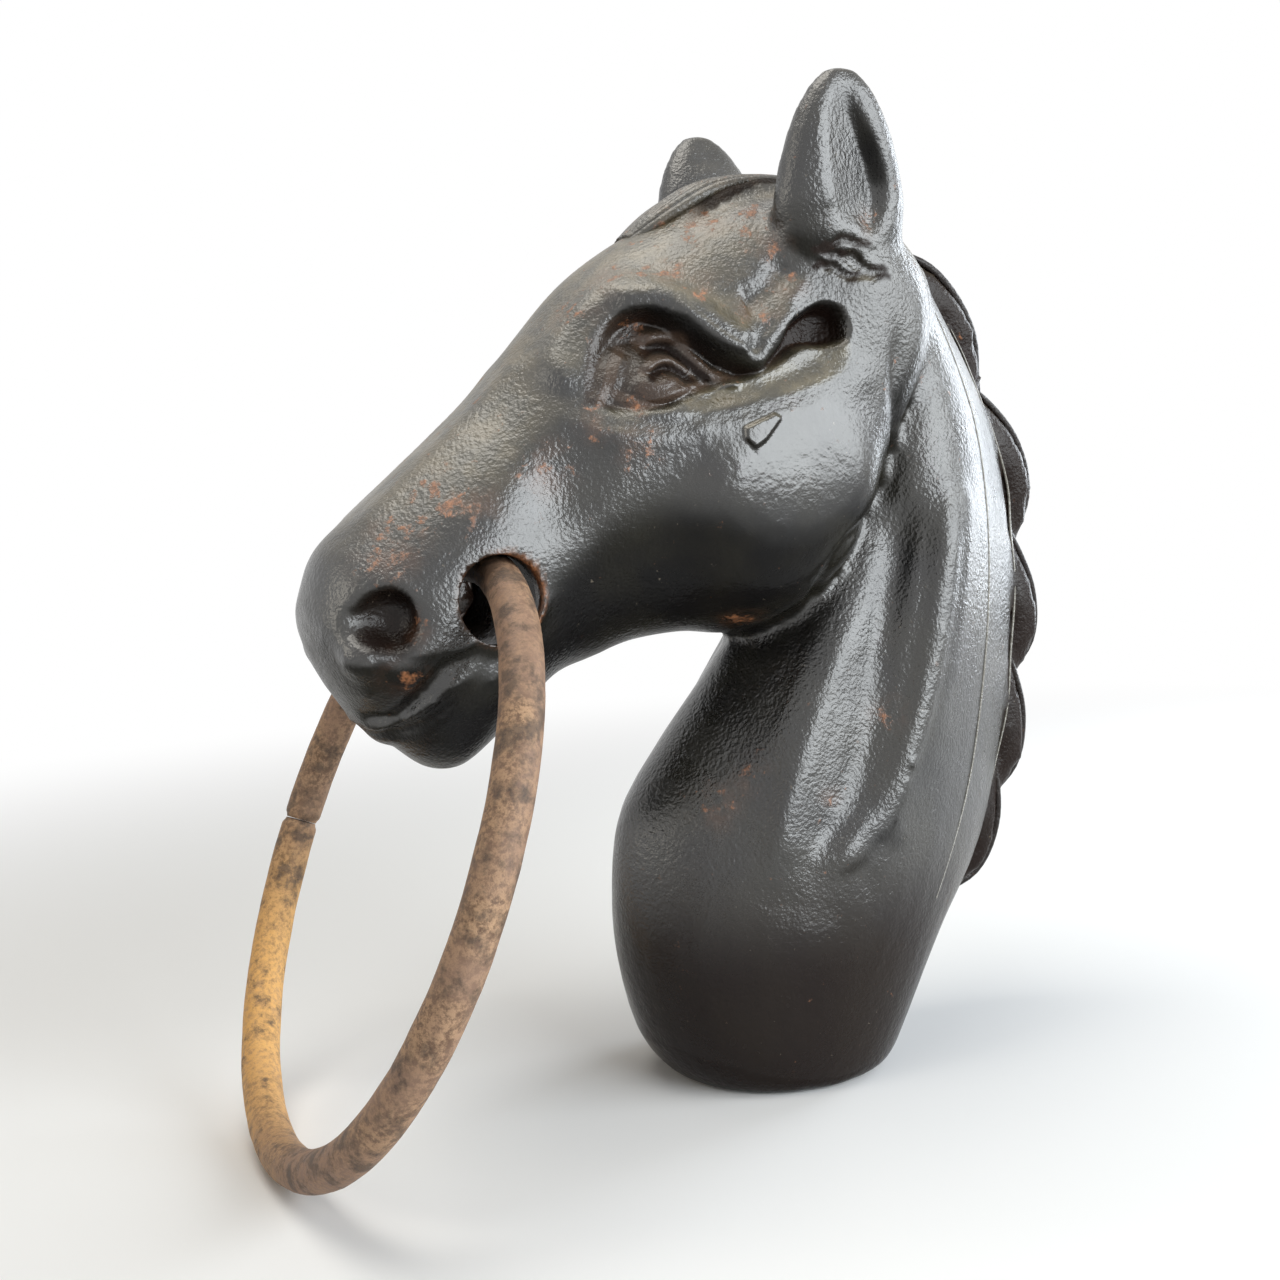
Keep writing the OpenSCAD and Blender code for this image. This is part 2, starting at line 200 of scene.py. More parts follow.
# Inside it the eye's own hollow and the channel are sunk deeper, up to a crisp rim
channel_rim = through([
    (7.6, 179.6), (3, 178.2), (-3.3, 178.1), (-9.4, 174.9), (-14.1, 172.7), (-18.9, 171.3),
    (-23.4, 170.3), (-28.5, 168.8), (-33, 167.3), (-37, 165.7), (-42, 165), (-49, 165.8),
    (-56, 167)], 5)
channel = np.vstack([brow_edge, channel_rim[1:-1]])
channel_depth = ((-56, -50, -32, -22, -16, -8, 0, 9), (0.0, 1.6, 3.4, 3.2, 3.2, 3.6, 4.2, 4.2))
lid_fold = through([
    (-39.5, 181.8), (-36.4, 182.5), (-34, 182.6), (-31.6, 182), (-30.2, 180.1), (-28.8, 177.7),
    (-26.9, 175.2), (-24.5, 173), (-21.7, 171.6), (-19.2, 171.2)])
lid_groove = through([
    (-39.5, 178.4), (-37, 179.7), (-34.3, 180.3), (-32, 179.5), (-30.5, 177.5), (-28.4, 175),
    (-26.2, 172.7)])
lid_edge = through([
    (-40.8, 174.5), (-39.2, 175.9), (-37.4, 177.1), (-35, 177.4), (-32.8, 176.3), (-31.3, 174.8),
    (-29.6, 173.2)])
lid_slit = through([
    (-40, 172.8), (-38, 174), (-35.1, 175.2), (-32.8, 174.7), (-31, 173.5), (-29.6, 172.4)])
lower_lid = through([
    (-47, 170), (-45.8, 168.9), (-44.2, 167.8), (-41.5, 167.1), (-38.6, 167.8), (-36, 168.9),
    (-31.5, 170.2), (-26.7, 170.9)])
hollow_front = through([
    (-43.8, 180), (-44.8, 178.9), (-46.9, 176), (-48, 173.3), (-49.8, 170), (-52.1, 166.8)])
brow_ridge = through([
    (-46, 191), (-41, 192.3), (-34, 191.5), (-27, 186.5), (-21.5, 181.6), (-15.8, 179.4)])
brow_lip = through([
    (-34.5, 190), (-31.3, 187.9), (-28.6, 185), (-26.3, 182.6), (-23.1, 180), (-19.2, 177.9),
    (-16.2, 176.6), (-14.2, 178.3), (-11.5, 181.3), (-8.2, 185), (-4.4, 188.6)])
brow_fold = through([(-5.2, 198.3), (-9, 192.9), (-13.1, 189.6), (-17, 188.9)])
# Scoop of an ear: a long slope behind its front edge, and a steep wall at its back and its foot
ear_front = through([
    (8, 239), (4.2, 232), (3.1, 224.2), (3.6, 216.9), (4.3, 211.5), (5.3, 207.6), (8.8, 204.4)], 5)
ear_back = through([
    (8.8, 204.4), (13.6, 202.8), (16.9, 203.8), (19.3, 208.3), (20.2, 213.9), (18.2, 221.1),
    (15.4, 227.2), (12.9, 232.8), (10.6, 237.3), (8, 239)], 5)
ear_hollow = np.vstack([ear_front, ear_back[1:-1]])

# How far out of the middle plane the skin round the eyes and the ears lies
eye_flank = 13.0
ear_flank = 28.0
stretch_passes = 900


def in_box(q, low, high):
    return ((q > low) & (q < high)).all(1)


def stretched(p, edges, outline, margin, flank):
    """Stretches the skin over an outline on both flanks, from the points just outside it."""
    q = p[:, [0, 2]]
    close = in_box(q, outline.min(0) - margin, outline.max(0) + margin)
    near = np.flatnonzero(close & (abs(p[:, 1]) > flank))
    free = np.zeros(len(p), bool)
    free[near] = into_outline(q[near], outline) > -margin
    used, local = np.unique(edges[free[edges].any(1)], return_inverse=True)
    a, b = local.reshape(-1, 2).T
    v, loose = p[used], free[used]
    for _ in range(stretch_passes):
        v[loose] = beside(v, a, b)[loose]
    out = p.copy()
    out[used] = v
    return out


skin = stretched(skin, head_edges, eye_hollow, 3.0, eye_flank)
skin = stretched(skin, head_edges, ear_hollow, 1.5, ear_flank)
skin = ease(skin, head_edges, 4)

# The eyes, the muzzle and the ear hollows are carved finer than the rest, the lids and the scar finest
anywhere = (-np.inf, np.inf)


def turned(p):
    """The points of both sides, turned to one."""
    return np.stack([p[:, 0], abs(p[:, 1]), p[:, 2]], 1)


def within(p, x=anywhere, y=anywhere, z=anywhere):
    """Tells which points lie in a box or in its mirror image on the other side."""
    low, high = zip(x, y, z)
    return in_box(turned(p), low, high)


def scar_zone(p):
    return within(p, (-23.5, -11.5), (30, np.inf), (154.5, 165.5)) & (p[:, 1] < 0)


def fine_zone(p):
    eye = within(p, (-61, 14), (eye_flank, np.inf), (159, 194))
    muzzle_front = within(p, x=(-np.inf, -79), z=(-np.inf, 133))
    ear = within(p, (-1, 24), (32, np.inf), (194, 241))
    return eye | muzzle_front | ear | scar_zone(p)


def lid_zone(p):
    lid_wear_and_highlight = within(p, (-56, -20), (eye_flank, np.inf), (162, 188))
    rim = within(p, (-20.5, -2), (eye_flank, np.inf), (168, 182))
    return lid_wear_and_highlight | rim | scar_zone(p)


def mouth_zone(p):
    return within(p, (-106, -80), (9, np.inf), (96, 116))


def lip_zone(p):
    return mouth_zone(p) | within(p, (-np.inf, -97), (-np.inf, 17), (93, 107))


for finer_zone in (fine_zone, lid_zone):
    head_mesh.vertices.foreach_set("co", (skin * MM).ravel())
    finer = bmesh.new()
    finer.from_mesh(head_mesh)
    zone = finer_zone(skin)
    inside = [e for e in finer.edges if zone[e.verts[0].index] and zone[e.verts[1].index]]
    bmesh.ops.subdivide_edges(finer, edges=inside, cuts=1, use_grid_fill=True)
    finer.to_mesh(head_mesh)
    finer.free()
    head_edges = edges_of(head_mesh)
    skin = points_of(head_mesh)
    skin = ease(skin, head_edges, 3, only=finer_zone(skin))

# Lines on the muzzle and the neck, as points of the left skin turned to both sides
upper_lip = through([
    (-112.5, 0, 103.5), (-109.5, 7, 102), (-102.3, 13.2, 101), (-99.5, 16.5, 102.4),
    (-95.7, 22.1, 107.2), (-90.6, 25.7, 112.7), (-84.5, 25.6, 115.3), (-79.2, 24.9, 116.4)])
lip_band = through([
    (-106, 0, 99.2), (-101.4, 13.1, 99.7), (-97.6, 17.5, 101.2), (-93, 22.3, 105),
    (-88.4, 24.2, 109), (-81.7, 24.4, 113.1)])
lower_lip = through([
    (-103.4, 0, 97.4), (-102.9, 5.7, 97.6), (-99, 11.4, 98), (-95.2, 18.9, 100.6),
    (-90.3, 22.9, 104.8), (-85, 24.3, 108.6)])
nose_edge = through([
    (-105.7, 10.1, 141), (-100.1, 9.4, 146.4), (-92.6, 9, 152.6), (-83.3, 8.6, 160.3),
    (-72.7, 8.6, 169.6), (-60, 10, 181)])
nostril_arc = through([
    (-109.6, 17.1, 125.6), (-107.4, 18.2, 128.3), (-104, 20.4, 130.4), (-100.3, 22.5, 131.1),
    (-97.5, 23.8, 129.1), (-96.4, 24.3, 125.7), (-96.3, 25.2, 122.1)])
neck_valley = through([
    (30, 23, 140), (27.1, 24.1, 132.4), (23.2, 25.9, 120.7), (19.7, 27.7, 108.6),
    (15.8, 29.2, 97.1), (11.1, 30.2, 85.3), (5.7, 31.4, 74), (0.3, 32.2, 65.1),
    (-4.6, 32.3, 58.1)])
back_edge = through([
    (39.7, 30.3, 141.4), (36.8, 32, 130.6), (34.4, 33, 120), (30.5, 33.8, 106.7), (26, 34.7, 92.9),
    (22.1, 34.8, 84.5), (17.8, 34.6, 76.5), (12.3, 34, 68.1), (5.9, 34.1, 61.7), (-0.5, 33.7, 57.3),
    (-6.2, 32.4, 54.3)])
front_edge = through([
    (14.4, 23.1, 121.3), (6.1, 24.7, 108.5), (-2.1, 26.4, 95.2), (-5.6, 28.7, 86),
    (-8.2, 30.7, 75.8), (-9.3, 31, 68.8), (-10.2, 31.5, 62.5), (-9.2, 31.6, 57.3)])
under_arch = through([
    (-18.3, 28.3, 55.1), (-12, 31.2, 52.3), (-5, 33.1, 49.6), (2.5, 34.7, 51.9),
    (11.5, 34.2, 55.2)])
cheek_crease = through([
    (22, 37.2, 188), (20.8, 36.4, 175.3), (21.5, 33.8, 163.5), (27.7, 23, 151.5),
    (24.4, 22.2, 143.9), (8.1, 34.3, 134.5), (2.5, 30.2, 125.5), (4.6, 13.5, 117.9),
    (-3.3, 7.1, 111.9)])


def pulled(p, near, lift):
    """Moves points straight out of the flank that they are on."""
    out = p.copy()
    out[near, 1] += np.sign(p[near, 1]) * lift
    return out


def raised(p, near, lift):
    """Moves points square to the skin."""
    out = p.copy()
    out[near] += normals_of(head_mesh, p)[near] * lift[:, None]
    return out


def stroke(p, line, width, height, ends=0.12, flat=False, one_side=False):
    """Raises the skin along a line, or cuts it at a negative height; a flat line works straight out."""
    q = p if one_side else turned(p)
    q = q[:, [0, 2]] if flat else q
    margin = width * 1.6
    close = in_box(q, line.min(0) - margin, line.max(0) + margin)
    near = np.flatnonzero(close & ((abs(p[:, 1]) > 9) | (not flat)))
    far, share = from_line(q[near], line)
    fade = smooth_step(share, -0.001, ends) * (1 - smooth_step(share, 1 - ends, 1.001))
    lift = height * (1 - smooth_step(far, width * 0.12, width)) * fade
    return pulled(p, near, lift) if flat else raised(p, near, lift)


def along_x(x, value):
    """A value that is the same all over, or that changes along X between given places."""
    return value if isinstance(value, float) else np.interp(x, *value)


def press(p, outline, depth, walls, flank, even=None):
    """Sinks an outline into both flanks, with a rounded slope along each wall.

    A wall is a line and the width of its slope. The slope of an even wall is straight.
    """
    q = p[:, [0, 2]]
    outward = normals_of(head_mesh, p)[:, 1] * np.sign(p[:, 1]) > 0.1
    close = in_box(q, outline.min(0), outline.max(0))
    near = np.flatnonzero(close & (abs(p[:, 1]) > flank) & outward)
    x = q[near, 0]
    sink = along_x(x, depth) * (into_outline(q[near], outline) > 0)
    for line, slope in walls:
        sink = sink * smooth_step(from_line(q[near], line)[0], 0, along_x(x, slope))
    if even:
        sink = sink * np.clip(from_line(q[near], even[0])[0] / even[1], 0, 1)
    return pulled(p, near, -sink)


def dome(p, at, radii, height, fullness):
    """Raises a dome straight out of both flanks, with its radii along X and Z."""
    r = np.hypot((p[:, 0] - at[0]) / radii[0], (p[:, 2] - at[1]) / radii[1])
    near = np.flatnonzero((r < 1) & (abs(p[:, 1]) > eye_flank))
    return pulled(p, near, height * (1 - r[near] ** 2) ** fullness)


def boss(p, at, radius, height, sides=(-1, 1)):
    """Raises a round boss, or sinks a round hollow."""
    for s in sides:
        far = np.linalg.norm(p - np.array([at[0], s * at[1], at[2]]), axis=1)
        near = np.flatnonzero(far < radius)
        p = raised(p, near, height * (1 - smooth_step(far[near], 0.15 * radius, radius)))
    return p


# The brows, the eyes and the ears. Each row is a line, the width of the tool and the height it leaves.
eyeball_at = (-37.6, 170.9)
skin = stroke(skin, brow_ridge, 6.0, 1.8, flat=True)
skin = press(skin, eye_hollow, hollow_depth,
             [(brow_edge, brow_slope), (cheek_edge, cheek_slope)], eye_flank)
skin = press(skin, channel, channel_depth, [(brow_edge, brow_slope), (channel_rim, 1.8)], eye_flank)
skin = press(skin, ear_hollow, 4.4, [(ear_back, 4.4)], ear_flank, even=(ear_front, 15.0))
skin = dome(skin, (-38.2, 172.5), (13.5, 9.5), 4.6, 1.3)
skin = ease(skin, head_edges, 3, only=fine_zone(skin))
for line, width, height in ((brow_lip, 2.4, 0.9), (lid_fold, 2.9, 1.9), (lid_groove, 2.4, -1.2),
                            (lid_edge, 2.3, 1.3), (lid_slit, 2.2, -1.5)):
    skin = stroke(skin, line, width, height, flat=True)
skin = dome(skin, eyeball_at, (7.0, 3.5), 1.9, 0.6)
for line, width, height in ((lower_lid, 2.2, 1.1), (hollow_front, 3.4, 1.2)):
    skin = stroke(skin, line, width, height, flat=True)
skin = ease(skin, head_edges, 4, back=0.0, only=lid_zone(skin))
skin = stroke(skin, brow_fold, 5.0, -1.8, flat=True)

# The nostrils, with a fuller wing on the left, and the lips and the chin
skin = boss(skin, (-102.5, 21, 123), 10.5, -1.8)
skin = boss(skin, (-101, 21.5, 125), 7.5, -1.8)
skin = stroke(skin, nostril_arc, 3.0, 0.5)
for side, height in ((-1, 1.1), (1, 0.4)):
    skin = boss(skin, (-106.8, 21, 117.2), 8.5, height, sides=(side,))
skin = ease(skin, head_edges, 60, back=0.0, only=mouth_zone(skin))
for line, width, height, ends in ((upper_lip, 2.7, -2.2, 0.3), (lip_band, 2.6, 1.4, 0.35),
                                  (lower_lip, 2.7, -1.9, 0.3)):
    skin = stroke(skin, line, width, height, ends)
skin = ease(skin, head_edges, 10, back=0.0, only=lip_zone(skin))
skin = boss(skin, (-88, 9, 90), 15, 1.6)

# The edges of the nose, the muscles of the neck and the crease behind the cheek
for line, width, height in ((nose_edge, 7.0, 0.6), (neck_valley, 6.0, -1.0), (back_edge, 6.0, 1.2),
                            (front_edge, 8.0, 0.6), (under_arch, 10.0, -0.5)):
    skin = stroke(skin, line, width, height)
by_crease = 1 - smooth_step(from_line(turned(skin), cheek_crease)[0], 3, 7)
skin = ease(skin, head_edges, 25, back=0.0, only=by_crease)
skin = stroke(skin, cheek_crease, 3.5, -1.0)
skin = ease(skin, head_edges, 1)

# A flat diamond on the left cheek, where a chaplet pin of the mould was ground off
scar_height = 1.0
scar = np.array([(-21.5, 160.8), (-14.3, 163.6), (-13, 162.6), (-17.2, 157.9), (-19.8, 156.3),
                 (-21.7, 158.6)])
by_scar = within(skin, (-25.5, -9.5), (30, np.inf), (152, 168)) & (skin[:, 1] < 0)
near = np.flatnonzero(by_scar)
into = into_outline(skin[near][:, [0, 2]], scar)
skin = raised(skin, near, scar_height * smooth_step(into, -0.5, 0.4))

# Cold cracks of the casting in a rough seam under each ear
crack_z = 197.0
cracks_per_side = 6
crack_points = 8
crack_depth = 0.9
chance = np.random.default_rng(11)
cracks = []
for side in (-1, 1):
    flank = skin[(skin[:, 1] * side > 25) & (abs(skin[:, 2] - crack_z) < 9)]
    for _ in range(cracks_per_side):
        x = chance.uniform(-1, 9)
        z = 196.8 + chance.normal(0, 2.2)
        line = []
        for _ in range(crack_points):
            order = np.argsort((flank[:, 0] - x) ** 2 + (flank[:, 2] - z) ** 2)
            nearest = flank[order[:6]]
            line.append(nearest[np.argmax(abs(nearest[:, 1]))])
            x += chance.uniform(1.0, 2.4)
            z += chance.normal(0, 0.8)
        cracks.append(through(line, 3))
for line in cracks:
    width = chance.uniform(1.0, 1.7)
    skin = stroke(skin, line, width, -crack_depth, ends=0.3, one_side=True)
head_mesh.vertices.foreach_set("co", (skin * MM).ravel())
head_mesh.update()


def hole_point(r, a, y):
    """A point at the radius r and the angle a about the line of the ring's hole."""
    x = ring_hole_at[0] + r * math.cos(a)
    z = ring_hole_at[1] + r * math.sin(a)
    return MM * x, MM * y, MM * z


def skinned(bm, rings, way):
    """A solid through rings of points, closed at both ends; the way round is 1 or -1."""
    for one, two in zip(rings, rings[1:]):
        for j in range(len(one)):
            a, b = (j - 1, j)[::way]
            bm.faces.new((one[a], one[b], two[b], two[a]))
    bm.faces.new(rings[0][::-way])
    bm.faces.new(rings[-1][::way])


def turned_on_lathe(bm, profile, steps=72):
    """A solid turned about the line of the ring's hole, from points [y, radius]."""
    angles = np.linspace(0, 2 * math.pi, steps, endpoint=False)
    skinned(bm, [[bm.verts.new(hole_point(r, a, y)) for a in angles] for y, r in profile], -1)


def lofted(bm, rows, steps=48):
    """A solid through rows [front z, front x, back z, back x, half width]."""
    rings = []
    for zf, xf, zb, xb, half in rows:
        ring = []
        for a in np.linspace(0, 2 * math.pi, steps, endpoint=False):
            x = (xf + xb) / 2 + (xb - xf) / 2 * math.cos(a)
            z = (zf + zb) / 2 + (zb - zf) / 2 * math.cos(a)
            ring.append(bm.verts.new((MM * x, MM * half * math.sin(a), MM * z)))
        rings.append(ring)
    skinned(bm, rings, 1)


# The ring's hole with the room behind it, and the post's socket with the core's hollow above it
hole_reach = 40.0
hollows = bmesh.new()
turned_on_lathe(hollows, [(-hole_reach, ring_hole_r), (-chamber_half_w, ring_hole_r),
                          (-chamber_half_w, chamber_mouth_r), (0, chamber_r),
                          (chamber_half_w, chamber_mouth_r), (chamber_half_w, ring_hole_r),
                          (hole_reach, ring_hole_r)])
lofted(hollows, [(-1, -socket_r, -1, socket_r, socket_r),
                 (socket_depth, -socket_r, socket_depth, socket_r, socket_r),
                 (50.01, -18.5, 50.01, 18.5, 18.5), (69, -30, 71, 58, 20), (86, -20, 94, 62, 17),
                 (101, -8, 119, 64, 16), (118, 4, 144, 62, 15), (139, 17, 168, 55, 13),
                 (164, 30, 178, 46, 8)])
bmesh.ops.recalc_face_normals(hollows, faces=hollows.faces)
hollow_mesh = bpy.data.meshes.new("hollows")
hollows.to_mesh(hollow_mesh)
hollows.free()
hollow = placed("hollows", hollow_mesh)
cut = head.modifiers.new("cut", "BOOLEAN")
cut.operation = "DIFFERENCE"
cut.solver = "EXACT"
cut.object = hollow
head_mesh = shaped(head)
bpy.data.objects.remove(hollow)

# The slivers and specks that the cut leaves at the rims come off
sliver_area = 0.02
speck_faces = 20
cleaned = bmesh.new()
cleaned.from_mesh(head_mesh)
bmesh.ops.remove_doubles(cleaned, verts=cleaned.verts, dist=weld_gap)
bmesh.ops.triangulate(cleaned, faces=[f for f in cleaned.faces if len(f.verts) > 4])
stray = set()
for e in cleaned.edges:
    if len(e.link_faces) > 2:
        stray.update(f for f in e.link_faces if f.calc_area() < sliver_area * MM ** 2)
bmesh.ops.delete(cleaned, geom=list(stray), context="FACES")
left = set(cleaned.faces)
while left:
    island = [left.pop()]
    for f in island:
        touching = {g for e in f.edges for g in e.link_faces if g in left}
        left -= touching
        island += touching
    if len(island) < speck_faces:
        bmesh.ops.delete(cleaned, geom=island, context="FACES")

# A dark lip inside each mouth of the hole, on the nose's side where the ring never comes, shaped as
# flash from the core: it stands in for shade and closes the view through the hole
shade_lip_r = (5.4, 7.8, 10.8)
shade_lip_y = (21.2, 23.6)
shade_lip_at = math.radians(171)
shade_lip_half = math.radians(25)
shade_lip_steps = 15
for side in (-1, 1):
    rows = []
    for a in np.linspace(shade_lip_at - shade_lip_half, shade_lip_at + shade_lip_half, shade_lip_steps):
        inner = shade_lip_r[0] + (shade_lip_r[1] - shade_lip_r[0]) * ((a - shade_lip_at) / shade_lip_half) ** 2
        corners = ((inner, shade_lip_y[0]), (shade_lip_r[2], shade_lip_y[0]),
                   (shade_lip_r[2], shade_lip_y[1]), (inner, shade_lip_y[1]))
        rows.append([cleaned.verts.new(hole_point(r, a, side * y)) for r, y in corners])
    made = [cleaned.faces.new(rows[0]), cleaned.faces.new(rows[-1])]
    for one, two in zip(rows, rows[1:]):
        made += [cleaned.faces.new((one[j], one[j - 1], two[j - 1], two[j])) for j in range(4)]
    bmesh.ops.recalc_face_normals(cleaned, faces=made)
cleaned.to_mesh(head_mesh)
cleaned.free()
head_mesh.polygons.foreach_set("use_smooth", np.ones(len(head_mesh.polygons), bool))

# Where the iron is rusted, on both sides: the place of each spot and its radius
rust_spots = [
    (-23.9, 19, 203.8, 5), (-30.9, 22, 196.7, 7), (-25.8, 25.9, 193.4, 6), (-15.4, 32.4, 187.3, 5),
    (-12.7, 34.2, 186.7, 5), (-36, 18.7, 197.9, 5), (-6.2, 33.3, 193.7, 5), (-8.5, 28.7, 202, 6),
    (-18.7, 16, 209.6, 8), (-9.6, 21.5, 210.4, 8), (-42.1, 15.2, 197.5, 8), (-52.1, 14.3, 189.8, 8),
    (-40.5, 21.5, 183.4, 5), (-44, 29.3, 166.7, 4), (-53, 28.4, 164, 5), (-44.9, 32.2, 158.5, 6),
    (-80.7, 22.9, 147.7, 6), (-85.7, 20.2, 148.2, 7), (-88.4, 15.5, 151.3, 7),
    (-99.1, 14.8, 143, 6), (-93.9, 18.7, 143.1, 6), (-98.2, 19.2, 138.7, 7),
    (-101.6, 18.6, 136.7, 7), (-65.1, 24.1, 153.9, 7), (-100, 24.7, 112.2, 6),
    (-96.8, 24.7, 122.1, 4), (17.4, 30.4, 90.7, 5), (0.4, 32.7, 72, 4), (-16.1, 22.5, 79.4, 5),
    (-24.6, 19.7, 72.4, 6), (-14.2, 18.4, 116, 6), (13.5, 34.5, 206, 4)]

# Line of the crest in the side view, where the mane falls to the right
crest_line = np.array([
    (38, 207), (53, 198), (69, 172), (78, 147), (80, 120), (78, 95), (73, 70), (64, 48), (49, 30),
    (35, 10)], float)


def store(mesh, name, values):
    layer = mesh.attributes.new(name, "FLOAT", "POINT")
    layer.data.foreach_set("value", np.asarray(values, np.float32))


def nearest_of(q, lines):
    """Distance of the points q from the nearest of a few lines."""
    return np.min([from_line(q, line)[0] for line in lines], axis=0)


def weather(mesh):
    """Lays rust, polish, dirt and dust on the skin, and painted shade, painted highlight and painted top
    light.
    """
    p = points_of(mesh)
    q = turned(p)
    x, y, z = p.T
    out = q[:, 1]
    up = normals_of(mesh, p)[:, 2]

    def about(at, near, far):
        return 1 - smooth_step(np.linalg.norm(q - np.array(at), axis=1), near, far)

    # Rust in spots, on the poll and the nose, and round the ring's hole
    rust = np.zeros(len(p))
    for *at, r in rust_spots:
        rust = np.maximum(rust, about(at, 0.1 * r, 1.5 * r))
    ears = smooth_step(z, 206, 214) * smooth_step(out, 17, 22)
    top = smooth_step(up, 0.2, 0.8) * smooth_step(z, 130, 160) * (1 - 0.8 * ears)
    nose = 1 - smooth_step(x, -75, -20)
    rust = np.maximum(rust, 0.35 * np.maximum(top * smooth_step(-x, -30, 10), 0.6 * nose * top))
    from_axis = np.hypot(x - ring_hole_at[0], z - ring_hole_at[1])
    rim = (1 - smooth_step(abs(from_axis - ring_hole_r), 0.3, 1.3)) * smooth_step(out, 21, 23)
    back = smooth_step(x, ring_hole_at[0] - 4, ring_hole_at[0] + 8)
    store(mesh, "rust", rust)
    store(mesh, "rim_rust", rim * (0.15 + 0.85 * back))

    # Hands and rope have polished the cheeks, the foot and the muzzle
    foot = 1 - smooth_step(z, 28, 70)
    muzzle = 1 - smooth_step(x, -70, -45)
    store(mesh, "polish", np.maximum.reduce([about((-14, 36, 140), 20, 40), 0.8 * foot, 0.35 * muzzle]))

    # Dirt and painted shade in the eye's hollow, its channel and the creases between the lids;
    # the lid ridges and the eyeball get a painted highlight, with some wear
    by_eye = np.flatnonzero((out > 10) & (z > 155) & (z < 195))

    def inside(outline):
        into = np.full(len(p), -9.0)
        into[by_eye] = into_outline(p[by_eye][:, [0, 2]], outline)
        return into

    into = inside(channel)
    dirt_and_shade = smooth_step(into, 0.3, 1.8) * (0.55 + 0.45 * smooth_step(x, -24, -15))
    socket = np.flatnonzero((into > 0.3) & (x < -18))
    flat = p[socket][:, [0, 2]]
    bands = nearest_of(flat, (lid_fold, lid_edge, lower_lid, hollow_front))
    ball = np.hypot((flat[:, 0] - eyeball_at[0]) / 6.5, (flat[:, 1] - eyeball_at[1]) / 3.2)
    # Painted shade in the creases between the lids
    dark = 1 - smooth_step(nearest_of(flat, (lid_groove, lid_slit)), 0.5, 1.4)
    lid_wear_and_highlight = np.zeros(len(p))
    lid_wear_and_highlight[socket] = np.maximum.reduce([1 - smooth_step(bands, 0.7, 1.8),
                                      0.8 * (1 - smooth_step(ball, 0.7, 1.1)),
                                      0.3 * smooth_step(-flat[:, 0], 38, 44)]) * (1 - dark)
    dirt_and_shade[socket] = np.maximum(dirt_and_shade[socket], dark)
    store(mesh, "lid_wear_and_highlight", lid_wear_and_highlight)

    # Painted shade in the hole, the nostrils and under the hair; darker in the cracks and towards the
    # foot
    bore_shade = (from_axis < ring_hole_r + 0.05) * (out < 26)
    nostril_shade = 0.8 * about((-102, 21.5, 122.5), 5, 10)
    cracked = np.zeros(len(p))
    seam = np.flatnonzero((out > 22) & (abs(z - crack_z) < 12))
    cracked[seam] = 1 - smooth_step(nearest_of(p[seam], cracks), 0.5, 1.3)
    under_lock = (out < 15) * (z > 201) * smooth_step(x, -24, -14) * (x < 30)
    from_crest = from_line(p[:, [0, 2]], crest_line)[0]
    under_mane = (1 - smooth_step(from_crest, 12, 17)) * smooth_step(y, -2, 1)
    store(mesh, "dirt_and_shade", np.maximum.reduce([dirt_and_shade, bore_shade, nostril_shade, cracked, 0.8 * foot, under_mane,
                                           under_lock]))

    # What faces the ground reflects less, a painted shade; dust and painted light from above lie on the
    # top and on the shelf under the eye
    shelf = smooth_step(inside(eye_hollow), -0.5, 1.5) * (1 - smooth_step(into, -0.6, 0.2))
    shelf = shelf * smooth_step(x, -40, -20)
    store(mesh, "under", smooth_step(-up, 0.0, 0.42))
    store(mesh, "dust_and_top_light", np.maximum(top * (1 - 0.75 * smooth_step(into, -0.2, 1.5)), 0.8 * shelf))


weather(head_mesh)


class Nodes:
    """A tree of nodes, set down one after another."""

    def __init__(self, tree):
        self.tree = tree

    def feed(self, socket, value):
        if isinstance(value, bpy.types.NodeSocket):
            self.tree.links.new(value, socket)
        else:
            socket.default_value = value

    def fill(self, node, **inputs):
        for key, value in inputs.items():
            self.feed(node.inputs[key.replace("_", " ")], value)
        return node

    def put(self, kind, settings=None, **inputs):
        node = self.tree.nodes.new(kind)
        for key, value in (settings or {}).items():
            setattr(node, key, value)
        return self.fill(node, **inputs)

    def number(self, how, *values):
        node = self.put("ShaderNodeMath", {"operation": how})
        for socket, value in zip(node.inputs, values):
            self.feed(socket, value)
        return node.outputs[0]

    def add(self, a, b):
        return self.number("ADD", a, b)

    def times(self, a, b):
        return self.number("MULTIPLY", a, b)

    def ramp(self, value, low, high, start=0.0, end=1.0):
        return self.put("ShaderNodeMapRange", {"interpolation_type": "SMOOTHSTEP"}, Value=value,
                        From_Min=low, From_Max=high, To_Min=start, To_Max=end).outputs["Result"]


